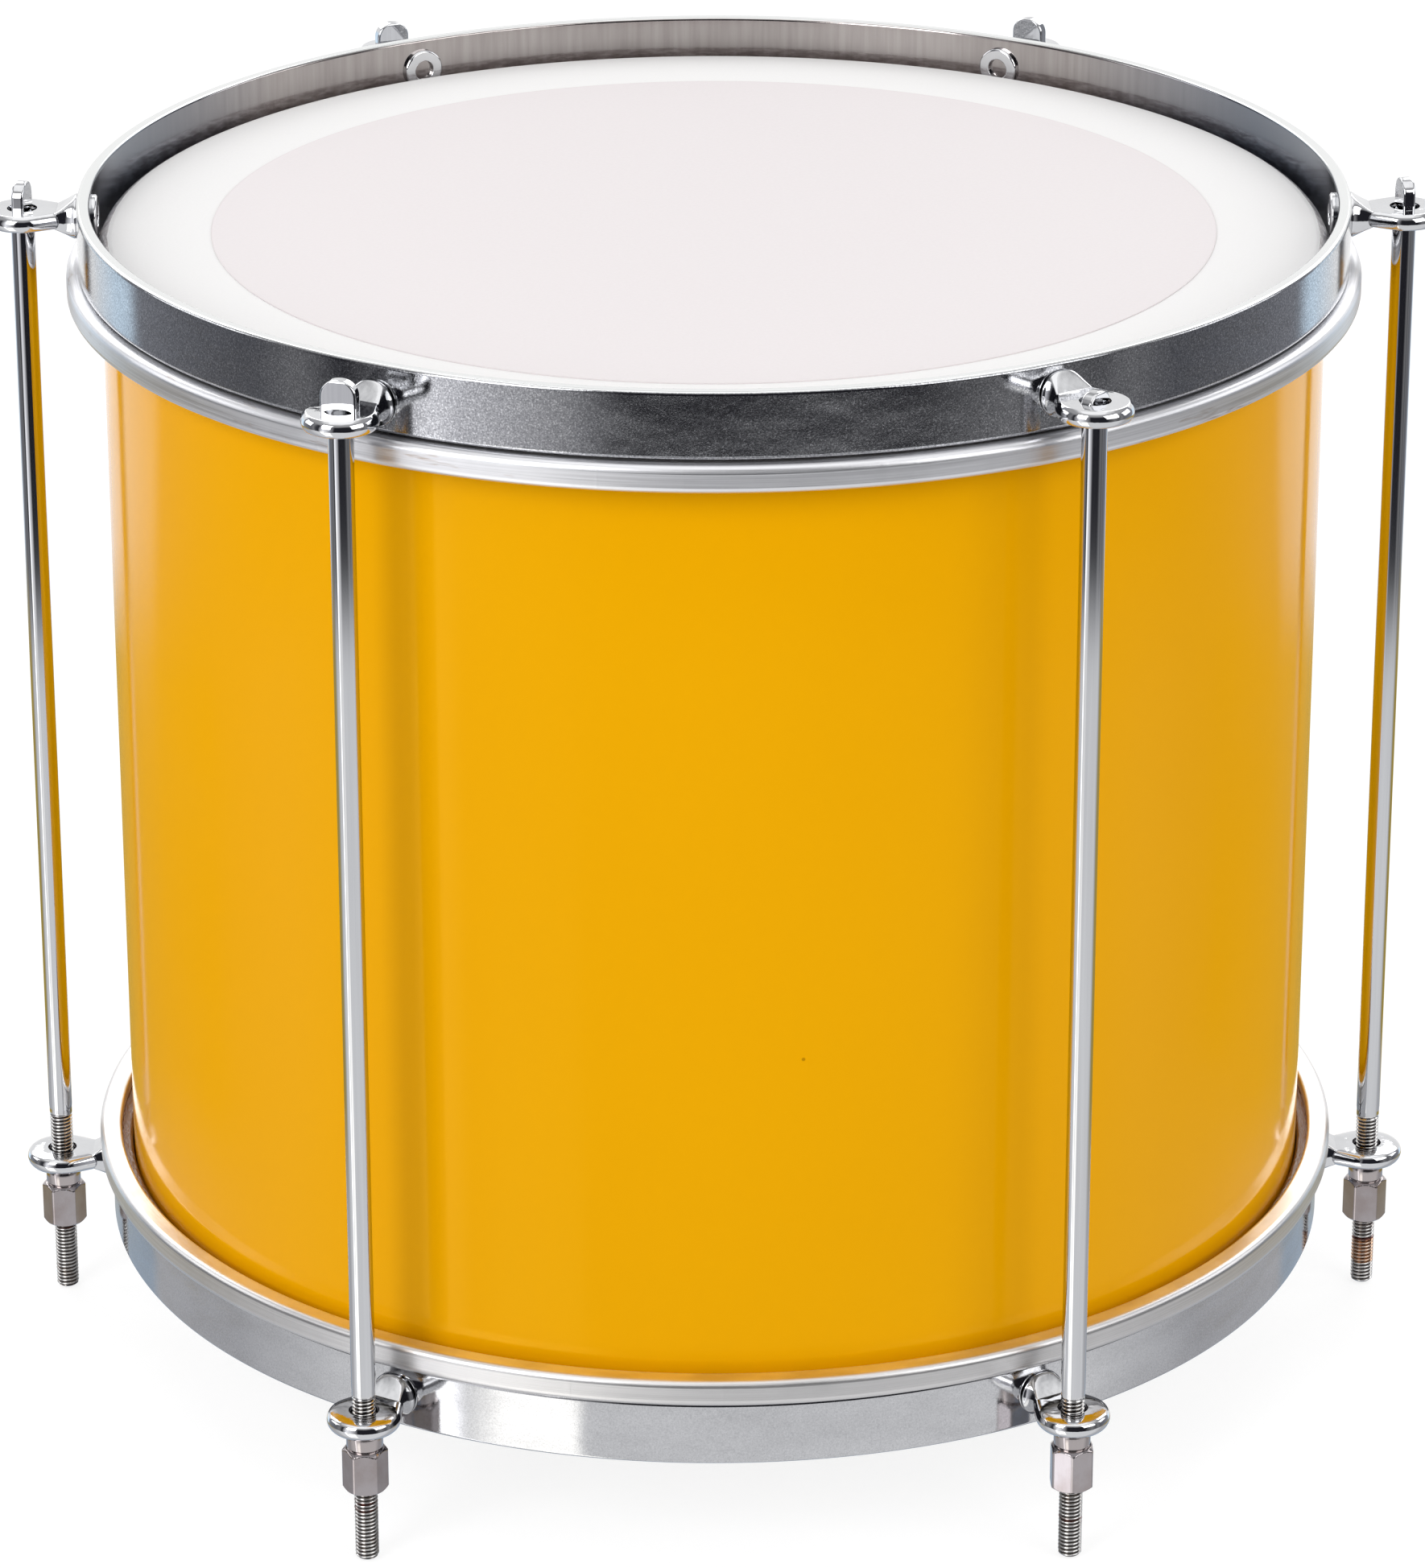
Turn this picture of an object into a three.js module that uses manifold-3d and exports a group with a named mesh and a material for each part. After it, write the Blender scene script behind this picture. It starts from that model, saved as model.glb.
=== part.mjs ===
// A repinique: a small two-headed samba drum, 12 inches across and 10 inches deep.
// Two films on flesh hoops are drawn over a painted metal shell by two steel counter hoops.
// Six rods run from eye lugs on the upper hoop to eye lugs on the lower one, where long nuts tune them.
// Units are millimetres, +Z is up along the drum's axis and the front faces -Y.
// The origin is on the drum's axis, level with the rod tips that the drum stands on.
import * as THREE from "three";
import { mergeVertices } from "three/addons/utils/BufferGeometryUtils.js";
import Module from "manifold-3d";

const wasm = await Module();
wasm.setup();

// Clearances
const SEAT_GAP = 0.3; // between pieces that rest on each other
const OVERRUN = 1; // how far a cutting tool runs past the piece it cuts
const MERGE_DISTANCE = 1e-4; // vertices closer than this are one

// Shell
const SHELL_RADIUS = 152.4;
const SHELL_LENGTH = 254;
const SHELL_WALL = 1;
const BEARING_RADIUS = 3; // outer radius of the rolled edge that the film bears on
const BEARING_FLANGE = 4; // flat of the rolled edge, measured inwards from its bend

// Heads
const FILM_THICKNESS = 0.3;
const HEAD_RECESS = 9.3; // from the counter hoop's free edge to the film's face
const DOT_INSET = 27.4; // from the shell's outer face to the dot's edge
const DOT_THICKNESS = 0.25;

// Flesh hoops
const FLESH_CLEARANCE = 2.5; // from the film's collar to the hoop's inner side
const FLESH_WIDTH = 5.6;
const FLESH_HEIGHT = 6.8;
const FLESH_ROUND = 1.6; // corner radius
const SLOT_DEPTH = 2.9; // the groove in its inner side that holds the film's edge
const SLOT_DROP = 3.1; // from its bearing face to the groove's middle

// Counter hoops
const HOOP_THICKNESS = 3.3;
const HOOP_HEIGHT = 16.5;
const HOOP_ROUND = 1.1; // corner radius of the strip

// Lugs
const EYE_CENTRE_OUT = 14; // from the hoop's outer face to the rod's axis
const EYE_RADIUS = 9.1;
const EYE_HOLE_RADIUS = 4;
const EYE_THICKNESS = 4.4;
const EYE_ROUND = 1.5; // rounding of the eye's rim
const NECK_HALF_WIDTH = 4.2;
const BASE_RADIUS = 5.8; // disc that bears on the hoop
const BASE_THICKNESS = 1.3;
const FLARE_LENGTH = 4.6; // from the base disc to where the flare has become the neck
const FLARE_RADIUS = 2.9; // of the flare's narrow end
const STEM_RADIUS = 3;
const STEM_HOLE_PLAY = 0.3;
const RIVET_RADIUS = 5.5;
const RIVET_THICKNESS = 0.9;
const RIVET_RECESS_RADIUS = 2.6;
const RIVET_RECESS_DEPTH = 2.2;

// Rods
const ROD_RADIUS = 3;
const THREAD_RADIUS = 2.9;
const THREAD_LENGTH = 51;
const TIP_CHAMFER = 0.6;
const SPADE_WIDTH = 8.8;
const SPADE_THICKNESS = 3.4;
const SPADE_HEIGHT = 8;
const SPADE_ROUND = 0.5;

// Nuts
const NUT_SIDES = 6;
const NUT_ACROSS_FLATS = 10;
const NUT_HEX_LENGTH = 11.2;
const NUT_COLLAR_RADIUS = 4.5;
const NUT_COLLAR_LENGTH = 5.4;
const NUT_CHAMFER = 0.9;
const THREAD_PLAY = 0.25; // between a nut's bore and the thread's crest
const THREAD_PAST_NUT = 19; // what the photograph shows of the thread below each nut

// Resolution of round shapes, in segments. Every lug angle falls on a ring vertex.
const RING_SEGMENTS = 48;
const ROUND_SEGMENTS = 12;
const EYE_SEGMENTS = 14;
const CORNER_STEPS = 1;
const BEARING_STEPS = 2;

// The six places round the drum, in degrees from the front, and the turn of each rod's spade.
const PLACES = [
  { name: "left", angle: -90, spadeTurn: -10 },
  { name: "front_left", angle: -30, spadeTurn: 6 },
  { name: "front_right", angle: 30, spadeTurn: 23 },
  { name: "right", angle: 90, spadeTurn: 9 },
  { name: "back_right", angle: 150, spadeTurn: 0 },
  { name: "back_left", angle: -150, spadeTurn: 0 },
];

// Levels, from the rod tips up
const nutTop = THREAD_PAST_NUT + NUT_HEX_LENGTH + NUT_COLLAR_LENGTH;
const lowerEyeMiddle = nutTop + SEAT_GAP + EYE_THICKNESS / 2;
const lowerHoopEdge = lowerEyeMiddle - HOOP_HEIGHT / 2;
const lowerFilmFace = lowerHoopEdge + HEAD_RECESS;
const shellBottom = lowerFilmFace + FILM_THICKNESS + SEAT_GAP;
const shellTop = shellBottom + SHELL_LENGTH;
const upperFilmFace = shellTop + SEAT_GAP + FILM_THICKNESS;
const upperHoopEdge = upperFilmFace + HEAD_RECESS;
const upperFleshTop = upperHoopEdge - HOOP_HEIGHT - SEAT_GAP;
const upperEyeMiddle = upperHoopEdge - HOOP_HEIGHT / 2;
const upperEyeTop = upperEyeMiddle + EYE_THICKNESS / 2;
const spadeTop = upperEyeTop + SPADE_HEIGHT;
const drumMiddle = (shellBottom + shellTop) / 2;

// Radii, from the shell out: the film's collar, the hoops and the circle of the rods.
// A counter hoop clears the collar by the rivet ends that stand out of its inner face.
const collarRadius = SHELL_RADIUS + SEAT_GAP + FILM_THICKNESS;
const fleshInnerRadius = collarRadius + FLESH_CLEARANCE;
const fleshOuterRadius = fleshInnerRadius + FLESH_WIDTH;
const rivetLow = collarRadius + SEAT_GAP;
const rivetHigh = rivetLow + RIVET_THICKNESS;
const hoopInnerRadius = rivetHigh + 2 * SEAT_GAP;
const hoopOuterRadius = hoopInnerRadius + HOOP_THICKNESS;
const rodCircleRadius = hoopOuterRadius + EYE_CENTRE_OUT;
const dotRadius = SHELL_RADIUS - DOT_INSET;

const chrome = new THREE.MeshStandardMaterial({ color: 0xd8dadd, roughness: 0.12, metalness: 1 });
const hoopChrome = new THREE.MeshStandardMaterial({ color: 0xb9bbc2, roughness: 0.25, metalness: 1 });
const nickel = new THREE.MeshStandardMaterial({ color: 0x8f8785, roughness: 0.35, metalness: 1 });
const aluminium = new THREE.MeshStandardMaterial({ color: 0xc9cacc, roughness: 0.4, metalness: 1 });
const yellowPaint = new THREE.MeshStandardMaterial({ color: 0xf0ac00, roughness: 0.15, metalness: 0 });
const coatedFilm = new THREE.MeshStandardMaterial({ color: 0xf3f1f0, roughness: 0.6, metalness: 0 });
const dotFilm = new THREE.MeshStandardMaterial({ color: 0xeee6e6, roughness: 0.55, metalness: 0 });

// Geometry helpers

// A closed geometry as a solid that can be joined or cut.
function solid(geometry) {
  const bare = geometry.clone();
  bare.deleteAttribute("normal");
  bare.deleteAttribute("uv");
  const merged = mergeVertices(bare, MERGE_DISTANCE);
  return new wasm.Manifold(
    new wasm.Mesh({
      numProp: 3,
      vertProperties: new Float32Array(merged.attributes.position.array),
      triVerts: new Uint32Array(merged.index.array),
    }),
  );
}

// A solid back as a geometry with normals for display.
function geometryOf(made) {
  const surface = made.getMesh();
  const geometry = new THREE.BufferGeometry();
  geometry.setAttribute("position", new THREE.BufferAttribute(surface.vertProperties, 3));
  geometry.setIndex(new THREE.BufferAttribute(surface.triVerts, 1));
  const flat = geometry.toNonIndexed();
  flat.computeVertexNormals();
  return flat;
}

// Points on an arc of a profile, from one angle to another in degrees, ends included.
function arc(x, y, radius, from, to, steps = CORNER_STEPS) {
  const points = [];
  for (let i = 0; i <= steps; i++) {
    const angle = THREE.MathUtils.degToRad(from + ((to - from) * i) / steps);
    points.push(new THREE.Vector2(x + radius * Math.cos(angle), y + radius * Math.sin(angle)));
  }
  return points;
}

// A solid of revolution about Z. The profile is given as (radius, height), counter-clockwise.
function turned(profile, segments) {
  const lathe = new THREE.LatheGeometry(profile, segments);
  return lathe.rotateX(Math.PI / 2);
}

// A ring of revolution: the profile is closed on itself.
function ring(profile, segments = RING_SEGMENTS) {
  return turned([...profile, profile[0].clone()], segments);
}

// A round bar along Z from one height to another.
function bar(radius, low, high, segments = ROUND_SEGMENTS) {
  return turned(
    [
      new THREE.Vector2(0, low),
      new THREE.Vector2(radius, low),
      new THREE.Vector2(radius, high),
      new THREE.Vector2(0, high),
    ],
    segments,
  );
}

// A rounded rectangle as a profile, counter-clockwise from its lower inner corner.
function roundedBox(inner, outer, low, high, round) {
  return [
    ...arc(inner + round, low + round, round, 180, 270),
    ...arc(outer - round, low + round, round, 270, 360),
    ...arc(outer - round, high - round, round, 0, 90),
    ...arc(inner + round, high - round, round, 90, 180),
  ];
}

function mesh(name, geometry, material) {
  const made = new THREE.Mesh(geometry, material);
  made.name = name;
  return made;
}

// The shell: a tube whose ends are rolled inwards to carry the films.
function makeShell() {
  const bendRadius = SHELL_RADIUS - BEARING_RADIUS;
  const innerBend = BEARING_RADIUS - SHELL_WALL;
  const flangeRadius = bendRadius - BEARING_FLANGE;
  const lowBend = shellBottom + BEARING_RADIUS;
  const highBend = shellTop - BEARING_RADIUS;
  const profile = [
    new THREE.Vector2(flangeRadius, shellBottom),
    ...arc(bendRadius, lowBend, BEARING_RADIUS, 270, 360, BEARING_STEPS),
    ...arc(bendRadius, highBend, BEARING_RADIUS, 0, 90, BEARING_STEPS),
    new THREE.Vector2(flangeRadius, shellTop),
    new THREE.Vector2(flangeRadius, shellTop - SHELL_WALL),
    ...arc(bendRadius, highBend, innerBend, 90, 0),
    ...arc(bendRadius, lowBend, innerBend, 0, -90),
    new THREE.Vector2(flangeRadius, shellBottom + SHELL_WALL),
  ];
  return mesh("shell", ring(profile), yellowPaint);
}

// The upper head: a film that turns down over the bearing edge and out into the flesh hoop's groove.
function headGeometry() {
  const bend = BEARING_RADIUS + SEAT_GAP + FILM_THICKNESS;
  const bendMiddle = collarRadius - bend;
  const edgeTop = upperFleshTop - SLOT_DROP + FILM_THICKNESS / 2;
  const edgeLow = edgeTop - FILM_THICKNESS;
  const edgeRadius = fleshInnerRadius + SLOT_DEPTH - SEAT_GAP;
  const inside = collarRadius - FILM_THICKNESS;
  return turned(
    [
      new THREE.Vector2(0, upperFilmFace - FILM_THICKNESS),
      ...arc(bendMiddle, upperFilmFace - bend, bend - FILM_THICKNESS, 90, 0, BEARING_STEPS),
      new THREE.Vector2(inside, edgeLow),
      new THREE.Vector2(edgeRadius, edgeLow),
      new THREE.Vector2(edgeRadius, edgeTop),
      new THREE.Vector2(collarRadius, edgeTop),
      ...arc(bendMiddle, upperFilmFace - bend, bend, 0, 90, BEARING_STEPS),
      new THREE.Vector2(0, upperFilmFace),
    ],
    RING_SEGMENTS,
  );
}

function makeDot() {
  const geometry = bar(dotRadius, upperFilmFace, upperFilmFace + DOT_THICKNESS, RING_SEGMENTS);
  return mesh("top_head_dot", geometry, dotFilm);
}

// The upper flesh hoop: a rounded aluminium ring with a groove in its inner side for the film.
function fleshHoopGeometry() {
  const low = upperFleshTop - FLESH_HEIGHT;
  const slotMiddle = upperFleshTop - SLOT_DROP;
  const slotHalf = FILM_THICKNESS / 2 + SEAT_GAP;
  const slotEnd = fleshInnerRadius + SLOT_DEPTH;
  return ring([
    ...roundedBox(fleshInnerRadius, fleshOuterRadius, low, upperFleshTop, FLESH_ROUND),
    new THREE.Vector2(fleshInnerRadius, slotMiddle + slotHalf),
    new THREE.Vector2(slotEnd, slotMiddle + slotHalf),
    new THREE.Vector2(slotEnd, slotMiddle - slotHalf),
    new THREE.Vector2(fleshInnerRadius, slotMiddle - slotHalf),
  ]);
}

// The upper counter hoop: a flat strip bent into a ring, with a hole for each lug's stem.
function hoopGeometry() {
  const low = upperHoopEdge - HOOP_HEIGHT;
  let made = solid(ring(roundedBox(hoopInnerRadius, hoopOuterRadius, low, upperHoopEdge, HOOP_ROUND)));
  const holeStart = hoopInnerRadius - OVERRUN;
  const holeEnd = hoopOuterRadius + OVERRUN;
  for (const place of PLACES) {
    const drill = bar(STEM_RADIUS + STEM_HOLE_PLAY, holeStart, holeEnd);
    drill.rotateY(Math.PI / 2);
    drill.translate(0, 0, upperEyeMiddle);
    drill.rotateZ(THREE.MathUtils.degToRad(place.angle - 90));
    made = made.subtract(solid(drill));
  }
  return geometryOf(made);
}

// One lug, lying along +X with the drum's axis at x = 0 and its eye plate level with z = 0.
function lugGeometry() {
  const hoopFace = hoopOuterRadius + SEAT_GAP;
  const flareEnd = hoopFace + BASE_THICKNESS + FLARE_LENGTH;

  // The eye plate and its neck, seen from above
  const neckReach = Math.asin(NECK_HALF_WIDTH / (EYE_RADIUS - EYE_ROUND));
  const neckDegrees = THREE.MathUtils.radToDeg(neckReach);
  const plateStart = hoopFace + BASE_THICKNESS / 2 + EYE_ROUND;
  const outline = new THREE.Shape([
    new THREE.Vector2(plateStart, -NECK_HALF_WIDTH),
    ...arc(rodCircleRadius, 0, EYE_RADIUS - EYE_ROUND, neckDegrees - 180, 180 - neckDegrees, EYE_SEGMENTS),
    new THREE.Vector2(plateStart, NECK_HALF_WIDTH),
  ]);
  const plate = new THREE.ExtrudeGeometry(outline, {
    depth: EYE_THICKNESS - 2 * EYE_ROUND,
    bevelEnabled: true,
    bevelThickness: EYE_ROUND,
    bevelSize: EYE_ROUND,
    bevelSegments: 1,
  });
  plate.translate(0, 0, EYE_ROUND - EYE_THICKNESS / 2);

  // The base disc, the flare that runs out into the neck, the stem and its rivet end
  const flareMiddle = (hoopFace + BASE_THICKNESS + flareEnd) / 2;
  const flareMiddleRadius = (BASE_RADIUS + 2 * FLARE_RADIUS) / 3;
  const spine = turned(
    [
      new THREE.Vector2(0, rivetLow + RIVET_RECESS_DEPTH),
      new THREE.Vector2(RIVET_RECESS_RADIUS, rivetLow + RIVET_RECESS_DEPTH),
      new THREE.Vector2(RIVET_RECESS_RADIUS, rivetLow),
      new THREE.Vector2(RIVET_RADIUS, rivetLow),
      new THREE.Vector2(RIVET_RADIUS, rivetHigh),
      new THREE.Vector2(STEM_RADIUS, rivetHigh),
      new THREE.Vector2(STEM_RADIUS, hoopFace),
      new THREE.Vector2(BASE_RADIUS, hoopFace),
      new THREE.Vector2(BASE_RADIUS, hoopFace + BASE_THICKNESS),
      new THREE.Vector2(flareMiddleRadius, flareMiddle),
      new THREE.Vector2(FLARE_RADIUS, flareEnd),
      new THREE.Vector2(0, flareEnd),
    ],
    ROUND_SEGMENTS,
  );
  spine.rotateY(Math.PI / 2);

  const hole = bar(EYE_HOLE_RADIUS, -EYE_THICKNESS, EYE_THICKNESS);
  hole.translate(rodCircleRadius, 0, 0);
  return geometryOf(solid(spine).add(solid(plate)).subtract(solid(hole)));
}

// One rod, standing on z = 0 with its axis on Z: thread, round shank and flattened spade.
function rodGeometry() {
  const spadeStart = upperEyeTop + SEAT_GAP;
  const shankEnd = (spadeStart + spadeTop) / 2;
  const shank = turned(
    [
      new THREE.Vector2(0, 0),
      new THREE.Vector2(THREAD_RADIUS - TIP_CHAMFER, 0),
      new THREE.Vector2(THREAD_RADIUS, TIP_CHAMFER),
      new THREE.Vector2(THREAD_RADIUS, THREAD_LENGTH),
      new THREE.Vector2(ROD_RADIUS, THREAD_LENGTH + ROD_RADIUS - THREAD_RADIUS),
      new THREE.Vector2(ROD_RADIUS, spadeStart),
      new THREE.Vector2(SPADE_THICKNESS / 2, shankEnd),
      new THREE.Vector2(0, shankEnd),
    ],
    ROUND_SEGMENTS,
  );
  const halfWidth = SPADE_WIDTH / 2 - SPADE_ROUND;
  const domeMiddle = spadeTop - SPADE_ROUND - halfWidth;
  const outline = new THREE.Shape([
    new THREE.Vector2(-halfWidth, spadeStart + SPADE_ROUND),
    new THREE.Vector2(halfWidth, spadeStart + SPADE_ROUND),
    ...arc(0, domeMiddle, halfWidth, 0, 180, EYE_SEGMENTS / 2),
  ]);
  const spade = new THREE.ExtrudeGeometry(outline, {
    depth: SPADE_THICKNESS - 2 * SPADE_ROUND,
    bevelEnabled: true,
    bevelThickness: SPADE_ROUND,
    bevelSize: SPADE_ROUND,
    bevelSegments: 1,
  });
  spade.translate(0, 0, SPADE_ROUND - SPADE_THICKNESS / 2);
  spade.rotateX(Math.PI / 2);
  return geometryOf(solid(shank).add(solid(spade)));
}

// One tuning nut about Z: a chamfered hexagon under a round collar, bored right through.
function nutGeometry() {
  const hexTop = THREAD_PAST_NUT + NUT_HEX_LENGTH;
  const corner = NUT_ACROSS_FLATS / 2 / Math.cos(Math.PI / NUT_SIDES);
  const lastCorner = 360 - 360 / NUT_SIDES;
  const hexagon = new THREE.Shape(arc(0, 0, corner, 0, lastCorner, NUT_SIDES - 1));
  const hex = new THREE.ExtrudeGeometry(hexagon, { depth: NUT_HEX_LENGTH, bevelEnabled: false });
  hex.translate(0, 0, THREAD_PAST_NUT);
  const chamferRadius = corner - NUT_CHAMFER;
  const chamferDepth = NUT_CHAMFER + OVERRUN;
  const chamfers = turned(
    [
      new THREE.Vector2(0, THREAD_PAST_NUT),
      new THREE.Vector2(chamferRadius, THREAD_PAST_NUT),
      new THREE.Vector2(chamferRadius + chamferDepth, THREAD_PAST_NUT + chamferDepth),
      new THREE.Vector2(chamferRadius + chamferDepth, hexTop - chamferDepth),
      new THREE.Vector2(chamferRadius, hexTop),
      new THREE.Vector2(0, hexTop),
    ],
    ROUND_SEGMENTS,
  );
  const collar = bar(NUT_COLLAR_RADIUS, hexTop - OVERRUN, nutTop);
  const bore = bar(THREAD_RADIUS + THREAD_PLAY, THREAD_PAST_NUT - OVERRUN, nutTop + OVERRUN);
  const body = solid(hex).intersect(solid(chamfers));
  return geometryOf(body.add(solid(collar)).subtract(solid(bore)));
}

// The drum is the same at both ends, so each lower ring is the upper one turned over.
function atBothEnds(names, geometry, material) {
  const upper = mesh(names[0], geometry, material);
  const lower = mesh(names[1], geometry, material);
  lower.rotation.x = Math.PI;
  lower.position.z = 2 * drumMiddle;
  return [upper, lower];
}

function buildDrum() {
  const drum = new THREE.Group();
  drum.add(makeShell());
  drum.add(...atBothEnds(["top_head", "bottom_head"], headGeometry(), coatedFilm));
  drum.add(makeDot());
  drum.add(...atBothEnds(["top_flesh_hoop", "bottom_flesh_hoop"], fleshHoopGeometry(), aluminium));
  drum.add(...atBothEnds(["top_hoop", "bottom_hoop"], hoopGeometry(), hoopChrome));

  const lug = lugGeometry();
  const rod = rodGeometry();
  const nut = nutGeometry();
  for (const { name, angle, spadeTurn } of PLACES) {
    const spoke = new THREE.Group();
    spoke.rotation.z = THREE.MathUtils.degToRad(angle - 90);

    const upperLug = mesh("lug_top_" + name, lug, chrome);
    upperLug.position.z = upperEyeMiddle;
    const lowerLug = mesh("lug_bottom_" + name, lug, chrome);
    lowerLug.position.z = lowerEyeMiddle;

    const rodMesh = mesh("rod_" + name, rod, chrome);
    rodMesh.position.x = rodCircleRadius;
    rodMesh.rotation.z = Math.PI / 2 + THREE.MathUtils.degToRad(spadeTurn);
    const nutMesh = mesh("nut_" + name, nut, nickel);
    nutMesh.position.x = rodCircleRadius;

    spoke.add(upperLug, lowerLug, rodMesh, nutMesh);
    drum.add(spoke);
  }
  return drum;
}

export default buildDrum();
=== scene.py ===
import math

import bmesh
import bpy
from mathutils import Matrix, Vector, noise


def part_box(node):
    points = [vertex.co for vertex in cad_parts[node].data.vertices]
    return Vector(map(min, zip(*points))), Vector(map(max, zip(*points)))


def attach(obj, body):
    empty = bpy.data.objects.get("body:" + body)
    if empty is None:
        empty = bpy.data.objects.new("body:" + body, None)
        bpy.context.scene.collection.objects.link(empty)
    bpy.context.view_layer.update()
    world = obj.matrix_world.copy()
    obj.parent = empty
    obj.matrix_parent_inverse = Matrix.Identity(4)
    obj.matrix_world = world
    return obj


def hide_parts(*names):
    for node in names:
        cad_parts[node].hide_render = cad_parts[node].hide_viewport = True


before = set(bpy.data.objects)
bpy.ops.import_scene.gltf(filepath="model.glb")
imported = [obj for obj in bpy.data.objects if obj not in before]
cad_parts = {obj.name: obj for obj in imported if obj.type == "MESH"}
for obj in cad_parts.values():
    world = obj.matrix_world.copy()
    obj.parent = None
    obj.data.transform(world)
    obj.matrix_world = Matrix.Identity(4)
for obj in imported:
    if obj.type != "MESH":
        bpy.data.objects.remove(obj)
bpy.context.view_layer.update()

# A repinique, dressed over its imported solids. Every piece is built in its node's place and stands for it.
# Lengths here are in millimetres, and MM turns them into the scene's metres. The front faces -Y.
MM = 0.001


# Sizes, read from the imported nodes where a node's box gives them


def span(node):
    low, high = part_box(node)
    return [c / MM for c in low], [c / MM for c in high]


def top_radius(node):
    """A round node's outer radius, from its box across Y."""
    low, high = span(node)
    return (high[1] - low[1]) / 2


SHELL_RADIUS = top_radius("shell")
SHELL_LOW, SHELL_HIGH = span("shell")[0][2], span("shell")[1][2]
DRUM_MIDDLE = (SHELL_LOW + SHELL_HIGH) / 2
FILM_TOP = span("top_head")[1][2]
HOOP_RADIUS = top_radius("top_hoop")
HOOP_LOW, HOOP_HIGH = span("top_hoop")[0][2], span("top_hoop")[1][2]
HOOP_THICKNESS = 3.3
HOOP_INNER = HOOP_RADIUS - HOOP_THICKNESS
FLESH_RADIUS = top_radius("top_flesh_hoop")
FLESH_LOW, FLESH_HIGH = span("top_flesh_hoop")[0][2], span("top_flesh_hoop")[1][2]
FLESH_WIDTH = 5.6
FLESH_INNER = FLESH_RADIUS - FLESH_WIDTH
DOT_RADIUS = top_radius("top_head_dot")
DOT_TOP = span("top_head_dot")[1][2]
NUT_LOW, NUT_HIGH = span("nut_front_left")[0][2], span("nut_front_left")[1][2]
SPADE_TOP = span("rod_left")[1][2]
SHELL_WALL = 1
SHELL_FLANGE = 7  # how far the rolled edge reaches inwards
BEARING_ROUND = 3  # of the rolled edge's outer corner
FILM = 0.3
COLLAR_RADIUS = SHELL_RADIUS + 2 * FILM  # of the film where it turns down beside the shell
COAT_RADIUS = SHELL_RADIUS - 1.8  # where the sprayed coat ends
SLOT_DROP = 3.1  # from a flesh hoop's top to the middle of the groove that holds the film
SLOT_DEPTH = 2.9
SLOT_PLAY = 0.3
SLOT_REACH = 2.6  # how far the film's edge enters the groove
EYE_MIDDLE = (HOOP_LOW + HOOP_HIGH) / 2
EYE_HALF = 2.2  # half of the eye plate's thickness
EYE_RADIUS = 9.1
EYE_HOLE = 3.75  # radius
EYE_TOP = EYE_MIDDLE + EYE_HALF
EYE_OUT = 14  # from the hoop's face to the rod's axis
ROD_CIRCLE = HOOP_RADIUS + EYE_OUT
ROD_RADIUS = 3
COLLAR_LENGTH = 5.4  # of a nut's round end

# How far each upper lug sits above the middle of its hoop, by hand riveting
RISE = {"left": 1.0, "front_left": -1.1, "front_right": 0.8, "right": 0.6}

# Each place's angle from the front, its spade's turn, how far its spade's top is from the tallest one's,
# its nut's turn, and the level where its thread ends. Angles are in degrees.
PLACES = {
    "left": (-90, -10, 0, 3, 51),
    "front_left": (-30, 14, -1.4, 1, 45),
    "front_right": (30, 23, -4.7, 32, 44),
    "right": (90, 9, 0, -3, 49),
    "back_right": (150, 0, -0.4, 12, 48),
    "back_left": (-150, -6, -1.1, 20, 47),
}

# Rust on the threads under the nuts: lowest and highest level, and how dark
RUST = {
    "left": [(17.9, 18.8, 0.95)],
    "front_left": [(15.4, 16.0, 0.95), (13.5, 14.1, 0.95)],
    "front_right": [(10.3, 10.9, 0.9)],
    "right": [(6.0, 12.6, 0.6), (12.6, 13.2, 0.95)],
}


# Mesh helpers


def finish_mesh(name, verts, faces, sharp=40):
    """A smooth-shaded closed mesh from points in millimetres."""
    mesh = bpy.data.meshes.new(name)
    mesh.from_pydata([(x * MM, y * MM, z * MM) for x, y, z in verts], [], faces)
    work = bmesh.new()
    work.from_mesh(mesh)
    bmesh.ops.recalc_face_normals(work, faces=work.faces)
    work.to_mesh(mesh)
    work.free()
    mesh.shade_smooth()
    mesh.set_sharp_from_angle(angle=math.radians(sharp))
    made = bpy.data.objects.new(name, mesh)
    bpy.context.scene.collection.objects.link(made)
    return made


def rounded(corners, steps=6, support=0.1):
    """A closed profile from (x, y, radius) corners, with a point beside each arc to keep the flats flat."""
    profile = []
    for i, (x, y, radius) in enumerate(corners):
        here = Vector((x, y))
        if radius == 0:
            profile.append(here)
            continue
        before = (Vector(corners[i - 1][:2]) - here).normalized()
        after = (Vector(corners[(i + 1) % len(corners)][:2]) - here).normalized()
        half = before.angle(after) / 2
        centre = here + (before + after).normalized() * (radius / math.sin(half))
        start = here + before * (radius / math.tan(half))
        end = here + after * (radius / math.tan(half))
        first = math.atan2(*reversed(start - centre))
        sweep = math.atan2(*reversed(end - centre)) - first
        sweep = (sweep + math.pi) % (2 * math.pi) - math.pi
        profile.append(start + before * support)
        for k in range(steps + 1):
            angle = first + sweep * k / steps
            profile.append(centre + radius * Vector((math.cos(angle), math.sin(angle))))
        profile.append(end + after * support)
    return profile


POLE = 1e-6  # a radius below this is on the axis


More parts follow.
